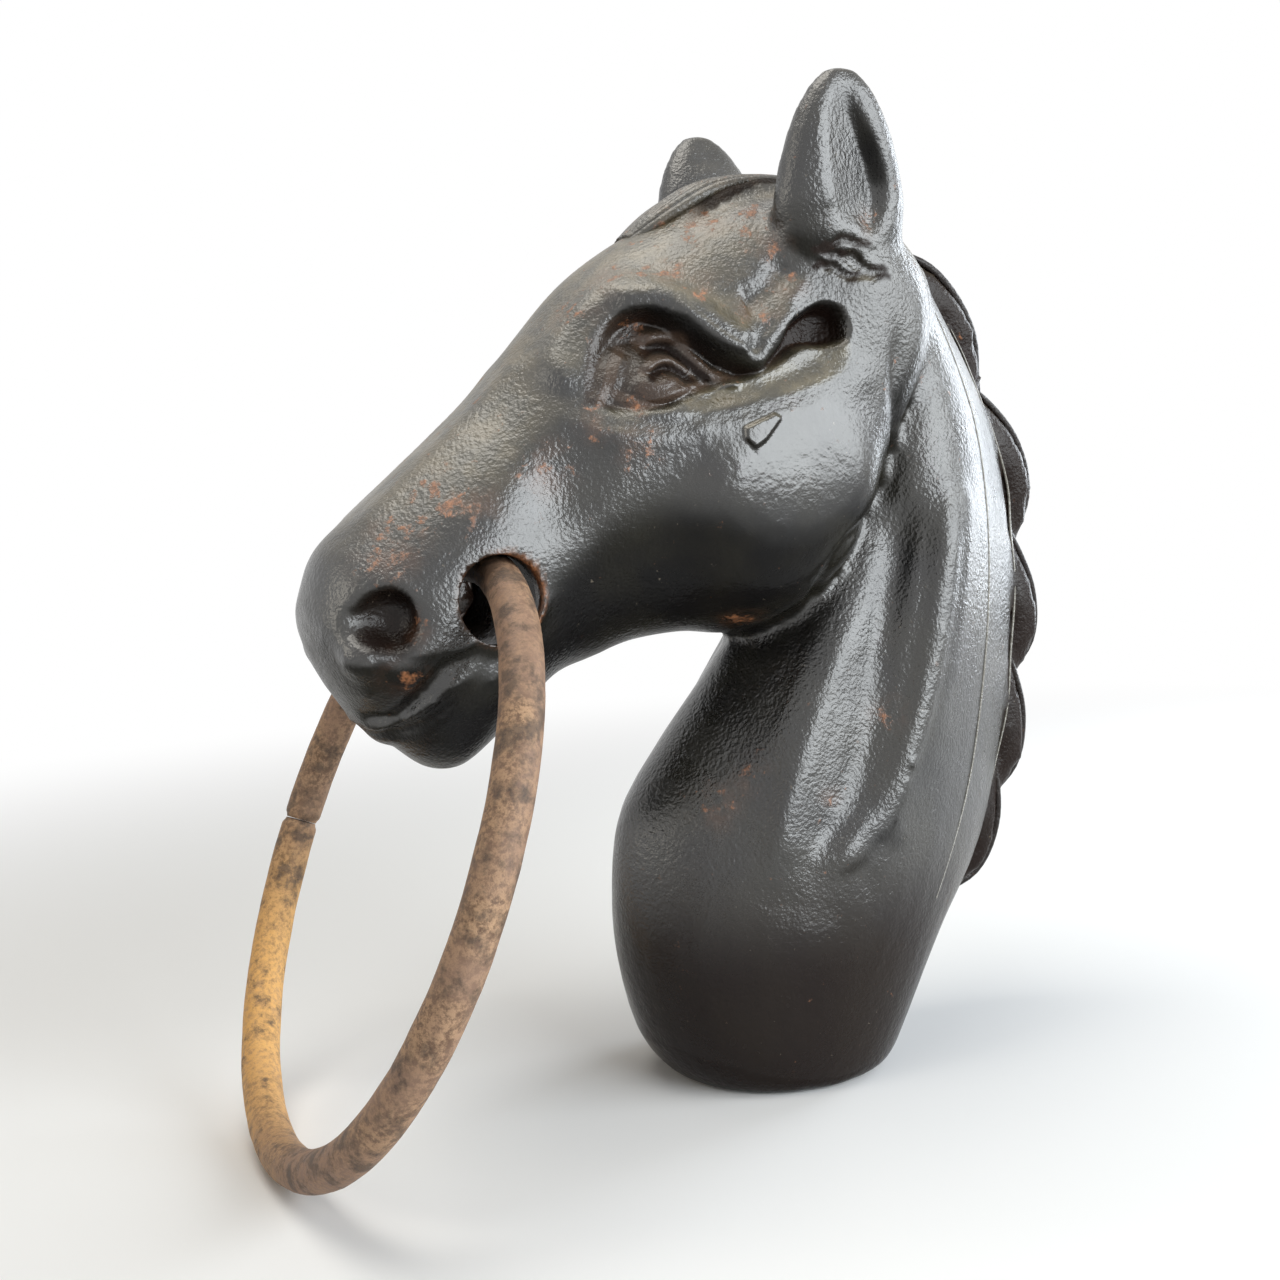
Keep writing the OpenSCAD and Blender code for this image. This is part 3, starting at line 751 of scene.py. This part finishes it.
class Shading(Nodes):
    """The nodes of a material."""

    def __init__(self, name):
        self.material = bpy.data.materials.new(name)
        self.material.use_nodes = True
        super().__init__(self.material.node_tree)
        self.shader = self.tree.nodes["Principled BSDF"]
        self.place = self.put("ShaderNodeTexCoord").outputs["Object"]

    def noise(self, scale, detail=4.0, roughness=0.55):
        return self.put("ShaderNodeTexNoise", Vector=self.place, Scale=scale, Detail=detail,
                        Roughness=roughness).outputs["Fac"]

    def blend(self, share, a, b):
        node = self.put("ShaderNodeMix", {"data_type": "RGBA"})
        for key, value in (("Factor_Float", share), ("A_Color", a), ("B_Color", b)):
            self.feed(next(s for s in node.inputs if s.identifier == key), value)
        return next(s for s in node.outputs if s.identifier == "Result_Color")

    def layer(self, name):
        return self.put("ShaderNodeAttribute", {"attribute_name": name}).outputs["Fac"]

    def bump(self, height, strength, distance):
        return self.put("ShaderNodeBump", Height=height, Strength=strength,
                        Distance=distance).outputs["Normal"]


def colour(*parts):
    """A colour written as it looks on a screen, 0 to 255."""
    light = [((c / 255 + 0.055) / 1.055) ** 2.4 if c > 10 else c / 255 / 12.92 for c in parts]
    return (*light, 1.0)


def cast_iron(name):
    """Black oiled iron with dust, dirt, rust flecks and pale worn places, and painted shade, highlight
    and top light, where the layers say.
    """
    s = Shading(name)
    rust, rim_rust, polish, dirt_and_shade, lid_wear_and_highlight, under, dust_and_top_light, bare = (
        s.layer(k) for k in ("rust", "rim_rust", "polish", "dirt_and_shade", "lid_wear_and_highlight", "under", "dust_and_top_light", "bare"))
    grain = s.noise(1150.0, 2.0, 0.5)
    patches = s.noise(150.0, 4.0, 0.6)
    specks = s.noise(260.0, 5.0, 0.68)
    base = s.blend(s.ramp(s.noise(38.0, 3.0), 0.35, 0.68), colour(15, 14, 14), colour(30, 28, 22))
    # Dust and painted light from above make the top paler
    dusty_and_lit = s.times(dust_and_top_light, s.ramp(patches, 0.35, 0.68, 0.3, 0.9))
    base = s.blend(dusty_and_lit, base, colour(112, 104, 82))
    # Darker in hollows, creases and under the hair, a painted shade with some dirt; lighter on the lids,
    # a painted highlight
    shade_and_grime = s.blend(lid_wear_and_highlight, colour(30, 20, 16), colour(92, 73, 61))
    base = s.blend(s.times(dirt_and_shade, 0.85), base, shade_and_grime)
    haze = s.times(s.times(rust, s.ramp(patches, 0.4, 0.65)), 0.55)
    base = s.blend(haze, base, colour(78, 52, 36))
    flecks = s.ramp(s.add(specks, s.times(rust, 0.17)), 0.66, 0.79)
    rusted = s.number("MAXIMUM", flecks, s.times(rim_rust, s.ramp(specks, 0.3, 0.55)))
    ochre = s.blend(s.ramp(grain, 0.35, 0.65), colour(98, 64, 42), colour(156, 104, 70))
    pale = s.times(s.ramp(s.noise(640.0, 3.0, 0.55), 0.7, 0.77), 0.4)
    base = s.blend(pale, base, colour(132, 122, 108))
    base = s.blend(s.times(bare, 0.75), base, colour(118, 113, 102))
    shine = s.add(s.ramp(s.noise(90.0, 4.0), 0.3, 0.7, 0.25, 0.34), s.times(polish, -0.07))
    worn = s.add(s.times(rusted, 0.3), s.times(dust_and_top_light, 0.08))
    # Dirt, hollows, creases and undersides reflect less: painted shade, with some dirt
    dulled_by_dirt_and_shade = s.number("MAXIMUM", dirt_and_shade, under)
    peel = s.times(grain, s.ramp(polish, 0.0, 1.0, 1.0, 0.25))
    peel = s.add(peel, s.times(s.noise(420.0, 2.0), 0.6))
    base = s.blend(s.times(rusted, 0.85), base, ochre)
    s.fill(s.shader, Base_Color=base, Roughness=s.add(shine, worn),
           Specular_IOR_Level=s.ramp(dulled_by_dirt_and_shade, 0.0, 1.0, 1.0, 0.14),
           Normal=s.bump(s.add(peel, s.times(rusted, 0.2)), 0.6, 0.0005))
    return s.material


oiled_iron = cast_iron("oiled_cast_iron")
head_mesh.materials.clear()
head_mesh.materials.append(oiled_iron)
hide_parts("head_casting")
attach(head, "head")

# The mane: five locks of hair that lie one over the next down the right of the crest, part of the
# same casting. Each lock is a bundle of strands that run side by side from its root to its tip.
lock_count = 5
lock_w = 26.0
lock_t = 13.0
lock_span = 0.22
lock_tilt = math.radians(48)
lock_steps = 24
strand_sides = 10
sway_angle = 5.0
whole_turn = 6.28
# From root to tip: how far a lock stands out from the crest and aside of it, and how full it is
lock_out = [[-0.6], [-0.34], [-0.08], [0.05], [-0.15]]
lock_aside = [[0.2], [0.3], [0.36], [0.4], [0.4]]
lock_girth = [[0.5], [0.82], [1.0], [1.0], [0.75]]


def spot(points, t):
    """The point at the share t of the smooth curve through the points."""
    p = np.asarray(points, float)
    n = len(p) - 1
    s = min(max(t, 0) * n, n - 1e-6)
    i = int(s)
    return curve_point(p[max(i - 1, 0)], p[i], p[i + 1], p[min(i + 2, n)], s - i)


class Growth(Nodes):
    """A tree that makes a mesh from a few given values, and gives it a finish."""

    def __init__(self, name, **values):
        super().__init__(bpy.data.node_groups.new(name, "GeometryNodeTree"))
        face = self.tree.interface
        for label, kind in {"Geometry": "Geometry", **values, "Finish": "Material"}.items():
            face.new_socket(label.replace("_", " "), in_out="INPUT", socket_type="NodeSocket" + kind)
        face.new_socket("Geometry", in_out="OUTPUT", socket_type="NodeSocketGeometry")
        self.given = self.put("NodeGroupInput").outputs
        self.along = self.put("GeometryNodeSplineParameter").outputs["Factor"]

    def scaled(self, vector, share):
        node = self.put("ShaderNodeVectorMath", {"operation": "SCALE"}, Scale=share)
        self.feed(node.inputs[0], vector)
        return node.outputs[0]

    def finished(self, shape):
        whole = self.put("GeometryNodeRealizeInstances", Geometry=shape)
        finish = self.put("GeometryNodeSetMaterial", Geometry=whole.outputs["Geometry"],
                          Material=self.given["Finish"])
        self.put("NodeGroupOutput", Geometry=finish.outputs["Geometry"])
        return self.tree


def strand_tree(name):
    """Sets strands side by side over a bundle's rounded face and sweeps a round section along each."""
    g = Growth(name, Strands="Int", Strand_Radius="Float", Wave="Float", Seed="Int")

    def named(label, kind):
        node = g.put("GeometryNodeInputNamedAttribute", {"data_type": kind}, Name=label)
        return node.outputs["Attribute"]

    paths = g.put("GeometryNodeMeshToCurve", Mesh=g.given["Geometry"])
    many = g.put("GeometryNodeDuplicateElements", {"domain": "SPLINE"},
                 Geometry=paths.outputs["Curve"], Amount=g.given["Strands"])
    index = many.outputs["Duplicate Index"]
    order = g.number("DIVIDE", g.add(index, 0.5), g.given["Strands"])
    draw = g.put("FunctionNodeRandomValue", ID=index, Seed=g.given["Seed"])
    luck = next(o for o in draw.outputs if o.enabled)
    sway = g.number("SINE", g.add(g.times(g.along, sway_angle), g.times(luck, whole_turn)))
    across = g.add(g.number("SUBTRACT", g.times(order, 2.0), 1.0), g.times(sway, g.given["Wave"]))
    round_off = g.number("SUBTRACT", 1.0, g.times(across, across))
    rise = g.number("SQRT", g.number("MAXIMUM", round_off, 0.02))
    uneven = g.times(rise, g.add(g.times(luck, 0.16), 0.88))
    step = g.put("ShaderNodeVectorMath")
    g.feed(step.inputs[0], g.scaled(named("wide", "FLOAT_VECTOR"), across))
    g.feed(step.inputs[1], g.scaled(named("deep", "FLOAT_VECTOR"), uneven))
    laid = g.put("GeometryNodeSetPosition", Geometry=many.outputs["Geometry"], Offset=step.outputs[0])
    section = g.put("GeometryNodeCurvePrimitiveCircle", Resolution=strand_sides, Radius=1.0)
    swept = g.put("GeometryNodeCurveToMesh", Curve=laid.outputs["Geometry"],
                  Profile_Curve=section.outputs["Curve"], Fill_Caps=True,
                  Scale=g.times(g.given["Strand Radius"], named("girth", "FLOAT")))
    return g.finished(swept.outputs["Mesh"])


def guide_object(name, bundles):
    """One line of points for each bundle, with its half axes and the girth of its strands."""
    points, lines, wide, deep, girth = [], [], [], [], []
    for path, w, d, g in bundles:
        first = len(points)
        points += [tuple(p * MM) for p in path]
        lines += [(first + i, first + i + 1) for i in range(len(path) - 1)]
        wide += [v * MM for v in w]
        deep += [v * MM for v in d]
        girth += list(g)
    mesh = bpy.data.meshes.new(name)
    mesh.from_pydata(points, lines, [])
    for label, values in (("wide", wide), ("deep", deep)):
        layer = mesh.attributes.new(label, "FLOAT_VECTOR", "POINT")
        layer.data.foreach_set("vector", np.asarray(values, np.float32).ravel())
    store(mesh, "girth", girth)
    return placed(name, mesh)


def grown(piece, tree, values):
    """Runs a tree on a piece and leaves the plain mesh."""
    grow = piece.modifiers.new("grow", "NODES")
    grow.node_group = tree
    for item in tree.interface.items_tree:
        if item.item_type == "SOCKET" and item.in_out == "INPUT" and item.name in values:
            grow[item.identifier] = values[item.name]
    mesh = shaped(piece)
    mesh.polygons.foreach_set("use_smooth", np.ones(len(mesh.polygons), bool))
    return mesh


lock_bundles = []
for k in range(lock_count):
    share = k / lock_count
    start = 0.025 + 0.77 * share * (1.2 - 0.25 * share)
    size = 0.8 + 0.3 * math.sin(math.pi * (k + 0.5) / lock_count)
    path, wide, deep, girth = [], [], [], []
    for s in np.linspace(-0.04, 1.1, lock_steps):
        at = start + lock_span * s
        c = spot(crest_line, at)
        u = spot(crest_line, min(at + 0.02, 1)) - spot(crest_line, max(at - 0.02, 0))
        u = u / np.linalg.norm(u)
        out = np.array([-u[1], 0, u[0]])
        aside = np.array([0, 1, 0])
        t = min(max(s, 0), 1)
        path.append(np.array([c[0], 0, c[1]]) + out * lock_t * size * spot(lock_out, t)
                    + aside * lock_w * size * spot(lock_aside, t))
        g = spot(lock_girth, t)[0] * (1 - 0.75 * max(s - 1, 0) / 0.1)
        wide.append(lock_w * size / 2 * g * (math.cos(lock_tilt) * aside - math.sin(lock_tilt) * out))
        deep.append(lock_t * size / 2 * g * (math.sin(lock_tilt) * aside + math.cos(lock_tilt) * out))
        girth.append(g)
    lock_bundles.append((path, wide, deep, girth))
mane = guide_object("mane_locks", lock_bundles)
hair_tree = strand_tree("mane_strands")
mane_mesh = grown(mane, hair_tree, {"Strands": 9, "Strand Radius": 1.15 * MM, "Wave": 0.06, "Seed": 5,
                                    "Finish": oiled_iron})
# Darker and duller all over the mane's strands
store(mane_mesh, "dirt_and_shade", np.full(len(mane_mesh.vertices), 0.75))
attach(mane, "head")

# The forelock: strands of the same casting that run forward from the poll between the ears and
# come together in a point on the forehead. Its line is rows of x, share of the width and z.
forelock_line = [(27, 1, 212.6), (10, 1, 217.5), (-8, 0.95, 216.6), (-20, 0.75, 212.4),
                 (-31, 0.3, 206.4)]
forelock_half_w = 15.0
forelock_rise = 4.4
forelock_steps = 26
path, wide, deep, girth = [], [], [], []
for s in np.linspace(0, 1, forelock_steps):
    x, taper, z = spot(forelock_line, s)
    arch = 0.35 + 0.65 * math.sin(math.pi * min(max(s, 0.04), 0.97))
    path.append(np.array([x, 0, z]))
    wide.append(np.array([0, forelock_half_w * taper, 0]))
    deep.append(np.array([0, 0, forelock_rise * arch]))
    girth.append(0.45 + 0.55 * math.sin(math.pi * (0.12 + 0.8 * s)))
forelock = guide_object("forelock", [(path, wide, deep, girth)])
forelock_mesh = grown(forelock, hair_tree, {"Strands": 9, "Strand Radius": 1.6 * MM, "Wave": 0.06,
                                            "Seed": 3, "Finish": oiled_iron})
store(forelock_mesh, "rust", np.full(len(forelock_mesh.vertices), 0.45))
# Dust and painted light from above on the forelock
store(forelock_mesh, "dust_and_top_light", np.full(len(forelock_mesh.vertices), 0.5))
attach(forelock, "head")

# The seams: thin fins that the joints of the mould left down the left of the crest and along its edge,
# ground low and rubbed pale.
seam_r = 0.42
seam_smoothing = 30
side_seam = through([
    (46.4, -16.6, 188.1), (49.4, -16.3, 182.6), (52.9, -17.6, 171.9), (55.2, -18.2, 164),
    (56.7, -19, 154.8), (57.7, -19.6, 143.5), (58.4, -19.4, 128.4), (57.4, -19.1, 108.2),
    (55.7, -18.6, 94.3), (52.5, -18.7, 77.6), (48.2, -20, 65.2), (40.1, -23.7, 52.2),
    (33.5, -25.7, 41.4)], 8)
crest_seam = through([
    (64.2, 0.5, 185.6), (70.9, 0, 175.2), (75.5, -0.5, 159.1), (79, -0.5, 150.4), (81.6, -0.5, 140),
    (82.6, -0.5, 130.6), (82, -0.5, 118.7), (81.4, -0.5, 101.6), (79.2, -0.5, 88.1),
    (76.6, -0.5, 75.6), (72.4, -0.5, 63.2), (64, -4, 52)], 8)
seam_guides = []
for line in (side_seam, crest_seam):
    path = np.array([np.array(head.closest_point_on_mesh(Vector(p * MM))[1]) / MM for p in line])
    for _ in range(seam_smoothing):
        path[1:-1] = (path[:-2] + 2 * path[1:-1] + path[2:]) / 4
    still = [np.zeros(3)] * len(path)
    thin = [math.sin(math.pi * (0.06 + 0.88 * t)) ** 0.5 for t in np.linspace(0, 1, len(path))]
    seam_guides.append((path, still, still, thin))
seams = guide_object("parting_seams", seam_guides)
seam_mesh = grown(seams, hair_tree, {"Strands": 1, "Strand Radius": seam_r * MM, "Wave": 0.0, "Seed": 1,
                                     "Finish": oiled_iron})
store(seam_mesh, "bare", np.ones(len(seam_mesh.vertices)))
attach(seams, "head")

# The hitching ring: round iron bar bent to a ring, its two ends left butting at the far side. It
# hangs loose through the muzzle, rusted all over, with darker scale left in patches.
ring_r = 70.25
ring_bar_r = 4.75
ring_gap = 0.15
ring_gap_at = math.radians(-4)
ring_drop = 62.29
ring_lean = math.radians(23.28)
ring_steps = 640
bar_sides = 32
end_share = 0.0042
end_size = 0.84
dent_scale = 85.0
dent_middle = 0.62
dent_depth = 0.5


def ring_tree(name):
    """Sweeps a round bar along an open circle, rounds off its ends and leaves hammer marks on it."""
    g = Growth(name, Ring_Radius="Float", Bar_Radius="Float", Start="Float", Sweep="Float",
               Marks="Float", Turn="Rotation", Place="Vector")
    arc = g.put("GeometryNodeCurveArc", Resolution=ring_steps, Radius=g.given["Ring Radius"],
                Start_Angle=g.given["Start"], Sweep_Angle=g.given["Sweep"])
    section = g.put("GeometryNodeCurvePrimitiveCircle", Resolution=bar_sides,
                    Radius=g.given["Bar Radius"])
    from_end = g.number("MINIMUM", g.along, g.number("SUBTRACT", 1.0, g.along))
    swept = g.put("GeometryNodeCurveToMesh", Curve=arc.outputs["Curve"], Fill_Caps=True,
                  Profile_Curve=section.outputs["Curve"],
                  Scale=g.ramp(from_end, 0.0, end_share, end_size, 1.0))
    set_down = g.put("GeometryNodeTransform", Geometry=swept.outputs["Mesh"],
                     Rotation=g.given["Turn"], Translation=g.given["Place"])
    dents = g.put("ShaderNodeTexNoise", Scale=dent_scale, Detail=3.0).outputs["Fac"]
    depth = g.times(g.number("SUBTRACT", dents, dent_middle), g.given["Marks"])
    normal = g.put("GeometryNodeInputNormal").outputs["Normal"]
    marked = g.put("GeometryNodeSetPosition", Geometry=set_down.outputs["Geometry"],
                   Offset=g.scaled(normal, depth))
    return g.finished(marked.outputs["Geometry"])


def rusted_bar(name):
    """Tan rust with dark scale in patches, and gold painted as warm light where the layer says."""
    s = Shading(name)
    painted_warm_light = s.layer("painted_warm_light")
    grain = s.noise(640.0, 5.0, 0.75)
    patches = s.noise(150.0, 6.0, 0.72)
    tone = s.noise(34.0, 3.0)
    tan = s.blend(s.ramp(grain, 0.38, 0.6), colour(94, 70, 52), colour(168, 136, 106))
    tan = s.blend(s.ramp(tone, 0.4, 0.62, 0.0, 0.7), tan, colour(140, 112, 94))
    # Gold is painted warm light on the lit part of the ring
    warm_light_share = s.times(painted_warm_light, s.ramp(grain, 0.3, 0.6, 0.35, 0.95))
    tan = s.blend(warm_light_share, tan, colour(214, 164, 96))
    scale = s.blend(s.ramp(grain, 0.35, 0.65), colour(46, 37, 31), colour(90, 74, 62))
    scaly = s.add(s.add(patches, s.times(grain, 0.3)), s.times(painted_warm_light, -0.05))
    s.fill(s.shader, Base_Color=s.blend(s.ramp(scaly, 0.62, 0.78, 0.0, 0.85), tan, scale),
           Roughness=s.ramp(grain, 0.3, 0.7, 0.5, 0.75), Specular_IOR_Level=0.4,
           Normal=s.bump(s.add(grain, patches), 0.5, 0.0004))
    return s.material


gap_turn = ring_gap / ring_r
lean = Matrix.Rotation(ring_lean, 3, "Y")
upright = Matrix(((0, 0, 1), (1, 0, 0), (0, 1, 0)))
ring_middle = Vector((ring_hole_at[0], 0, ring_hole_at[1])) + lean @ Vector((0, 0, -ring_drop))
ring = placed("ring", bpy.data.meshes.new("ring"))
ring_mesh = grown(ring, ring_tree("bent_ring"), {
    "Ring Radius": ring_r * MM, "Bar Radius": ring_bar_r * MM, "Start": ring_gap_at + gap_turn / 2,
    "Sweep": 2 * math.pi - gap_turn, "Marks": dent_depth * MM, "Turn": (lean @ upright).to_euler(),
    "Place": ring_middle * MM, "Finish": rusted_bar("rusted_iron_bar")})
bar = points_of(ring_mesh)
# Painted warm light on the lower part of the ring, laid on as gold
store(ring_mesh, "painted_warm_light", smooth_step(bar[:, 1], -30, 45) * (1 - smooth_step(bar[:, 2], 30, 75)))
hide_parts("hitching_ring")
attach(ring, "ring")

# The studio: a plain pale floor that keeps the shadow, soft lamps on the right, above and in front,
# and a white ground that the camera and reflections see.
floor_half = 4
white_from = 0.22
white_all = 0.7
sky_fill = 0.16
floor_corners = [(x * floor_half, y * floor_half, 0) for x, y in ((-1, -1), (1, -1), (1, 1), (-1, 1))]
floor_mesh = bpy.data.meshes.new("floor")
floor_mesh.from_pydata(floor_corners, [], [(0, 1, 2, 3)])
floor = placed("floor", floor_mesh)


def seen(nodes):
    """1 for rays from the camera, a reflection or through glass, and 0 for the rest."""
    ray = nodes.put("ShaderNodeLightPath").outputs
    direct = nodes.number("MAXIMUM", ray["Is Camera Ray"], ray["Is Glossy Ray"])
    return nodes.number("MAXIMUM", direct, ray["Is Transmission Ray"])


# Away from the head the floor turns to plain white for the rays that are seen
ground = Shading("pale_floor")
ground.fill(ground.shader, Base_Color=(0.86, 0.86, 0.86, 1), Roughness=0.9, Specular_IOR_Level=0.0)
span = ground.put("ShaderNodeVectorMath", {"operation": "LENGTH"})
ground.feed(span.inputs[0], ground.place)
away = ground.ramp(span.outputs["Value"], white_from, white_all)
both = ground.put("ShaderNodeMixShader", Fac=ground.times(away, seen(ground)))
ground.feed(both.inputs[1], ground.shader.outputs["BSDF"])
ground.feed(both.inputs[2], ground.put("ShaderNodeEmission").outputs["Emission"])
ground.fill(ground.tree.nodes["Material Output"], Surface=both.outputs["Shader"])
floor_mesh.materials.append(ground.material)

world = bpy.data.worlds.new("studio")
bpy.context.scene.world = world
world.use_nodes = True
sky = Nodes(world.node_tree)
sky.fill(sky.tree.nodes["Background"], Color=(1, 1, 1, 1),
         Strength=sky.ramp(seen(sky), 0.0, 1.0, sky_fill, 1.0))
lit_point = Vector((-0.01, 0, 0.12))


def softbox(name, toward, distance, wide, tall, glow, tint):
    """A soft lamp in a direction from the head, as bright as glow times white."""
    lamp = bpy.data.lights.new(name, "AREA")
    lamp.shape = "RECTANGLE"
    lamp.size = wide
    lamp.size_y = tall
    lamp.energy = glow * math.pi * wide * tall
    lamp.color = tint
    box = placed(name, lamp)
    way = Vector(toward).normalized()
    box.location = lit_point + way * distance
    box.rotation_euler = way.to_track_quat("Z", "Y").to_euler()


softbox("window_lamp", (0.50, -0.80, 0.28), 1.1, 1.35, 0.85, 5.6, (0.92, 0.97, 1.0))
softbox("side_lamp", (0.95, 0.22, 0.20), 0.65, 0.24, 0.40, 7.0, (0.86, 0.93, 1.0))
softbox("top_lamp", (-0.18, 0.08, 0.97), 0.8, 0.6, 0.55, 3.8, (1.0, 0.96, 0.88))
softbox("front_lamp", (-0.92, 0.05, 0.38), 0.9, 0.4, 0.4, 2.2, (1.0, 0.93, 0.80))

# The camera stands a little above the muzzle, in front of the horse's left cheek
eye_at = Vector((-0.19258, -0.34554, 0.15117))
right = Vector((0.90368, -0.42435, -0.05734))
down = Vector((-0.09554, -0.06928, -0.99301))
ahead = Vector((0.41741, 0.90284, -0.10315))
lens = bpy.data.cameras.new("camera")
lens.sensor_width = 36
lens.lens = 43.91
lens.clip_start = 0.01
camera = placed("camera", lens)
camera.matrix_world = Matrix.Translation(eye_at) @ Matrix((right, -down, -ahead)).transposed().to_4x4()
bpy.context.scene.camera = camera
bpy.context.scene.view_settings.view_transform = "Standard"
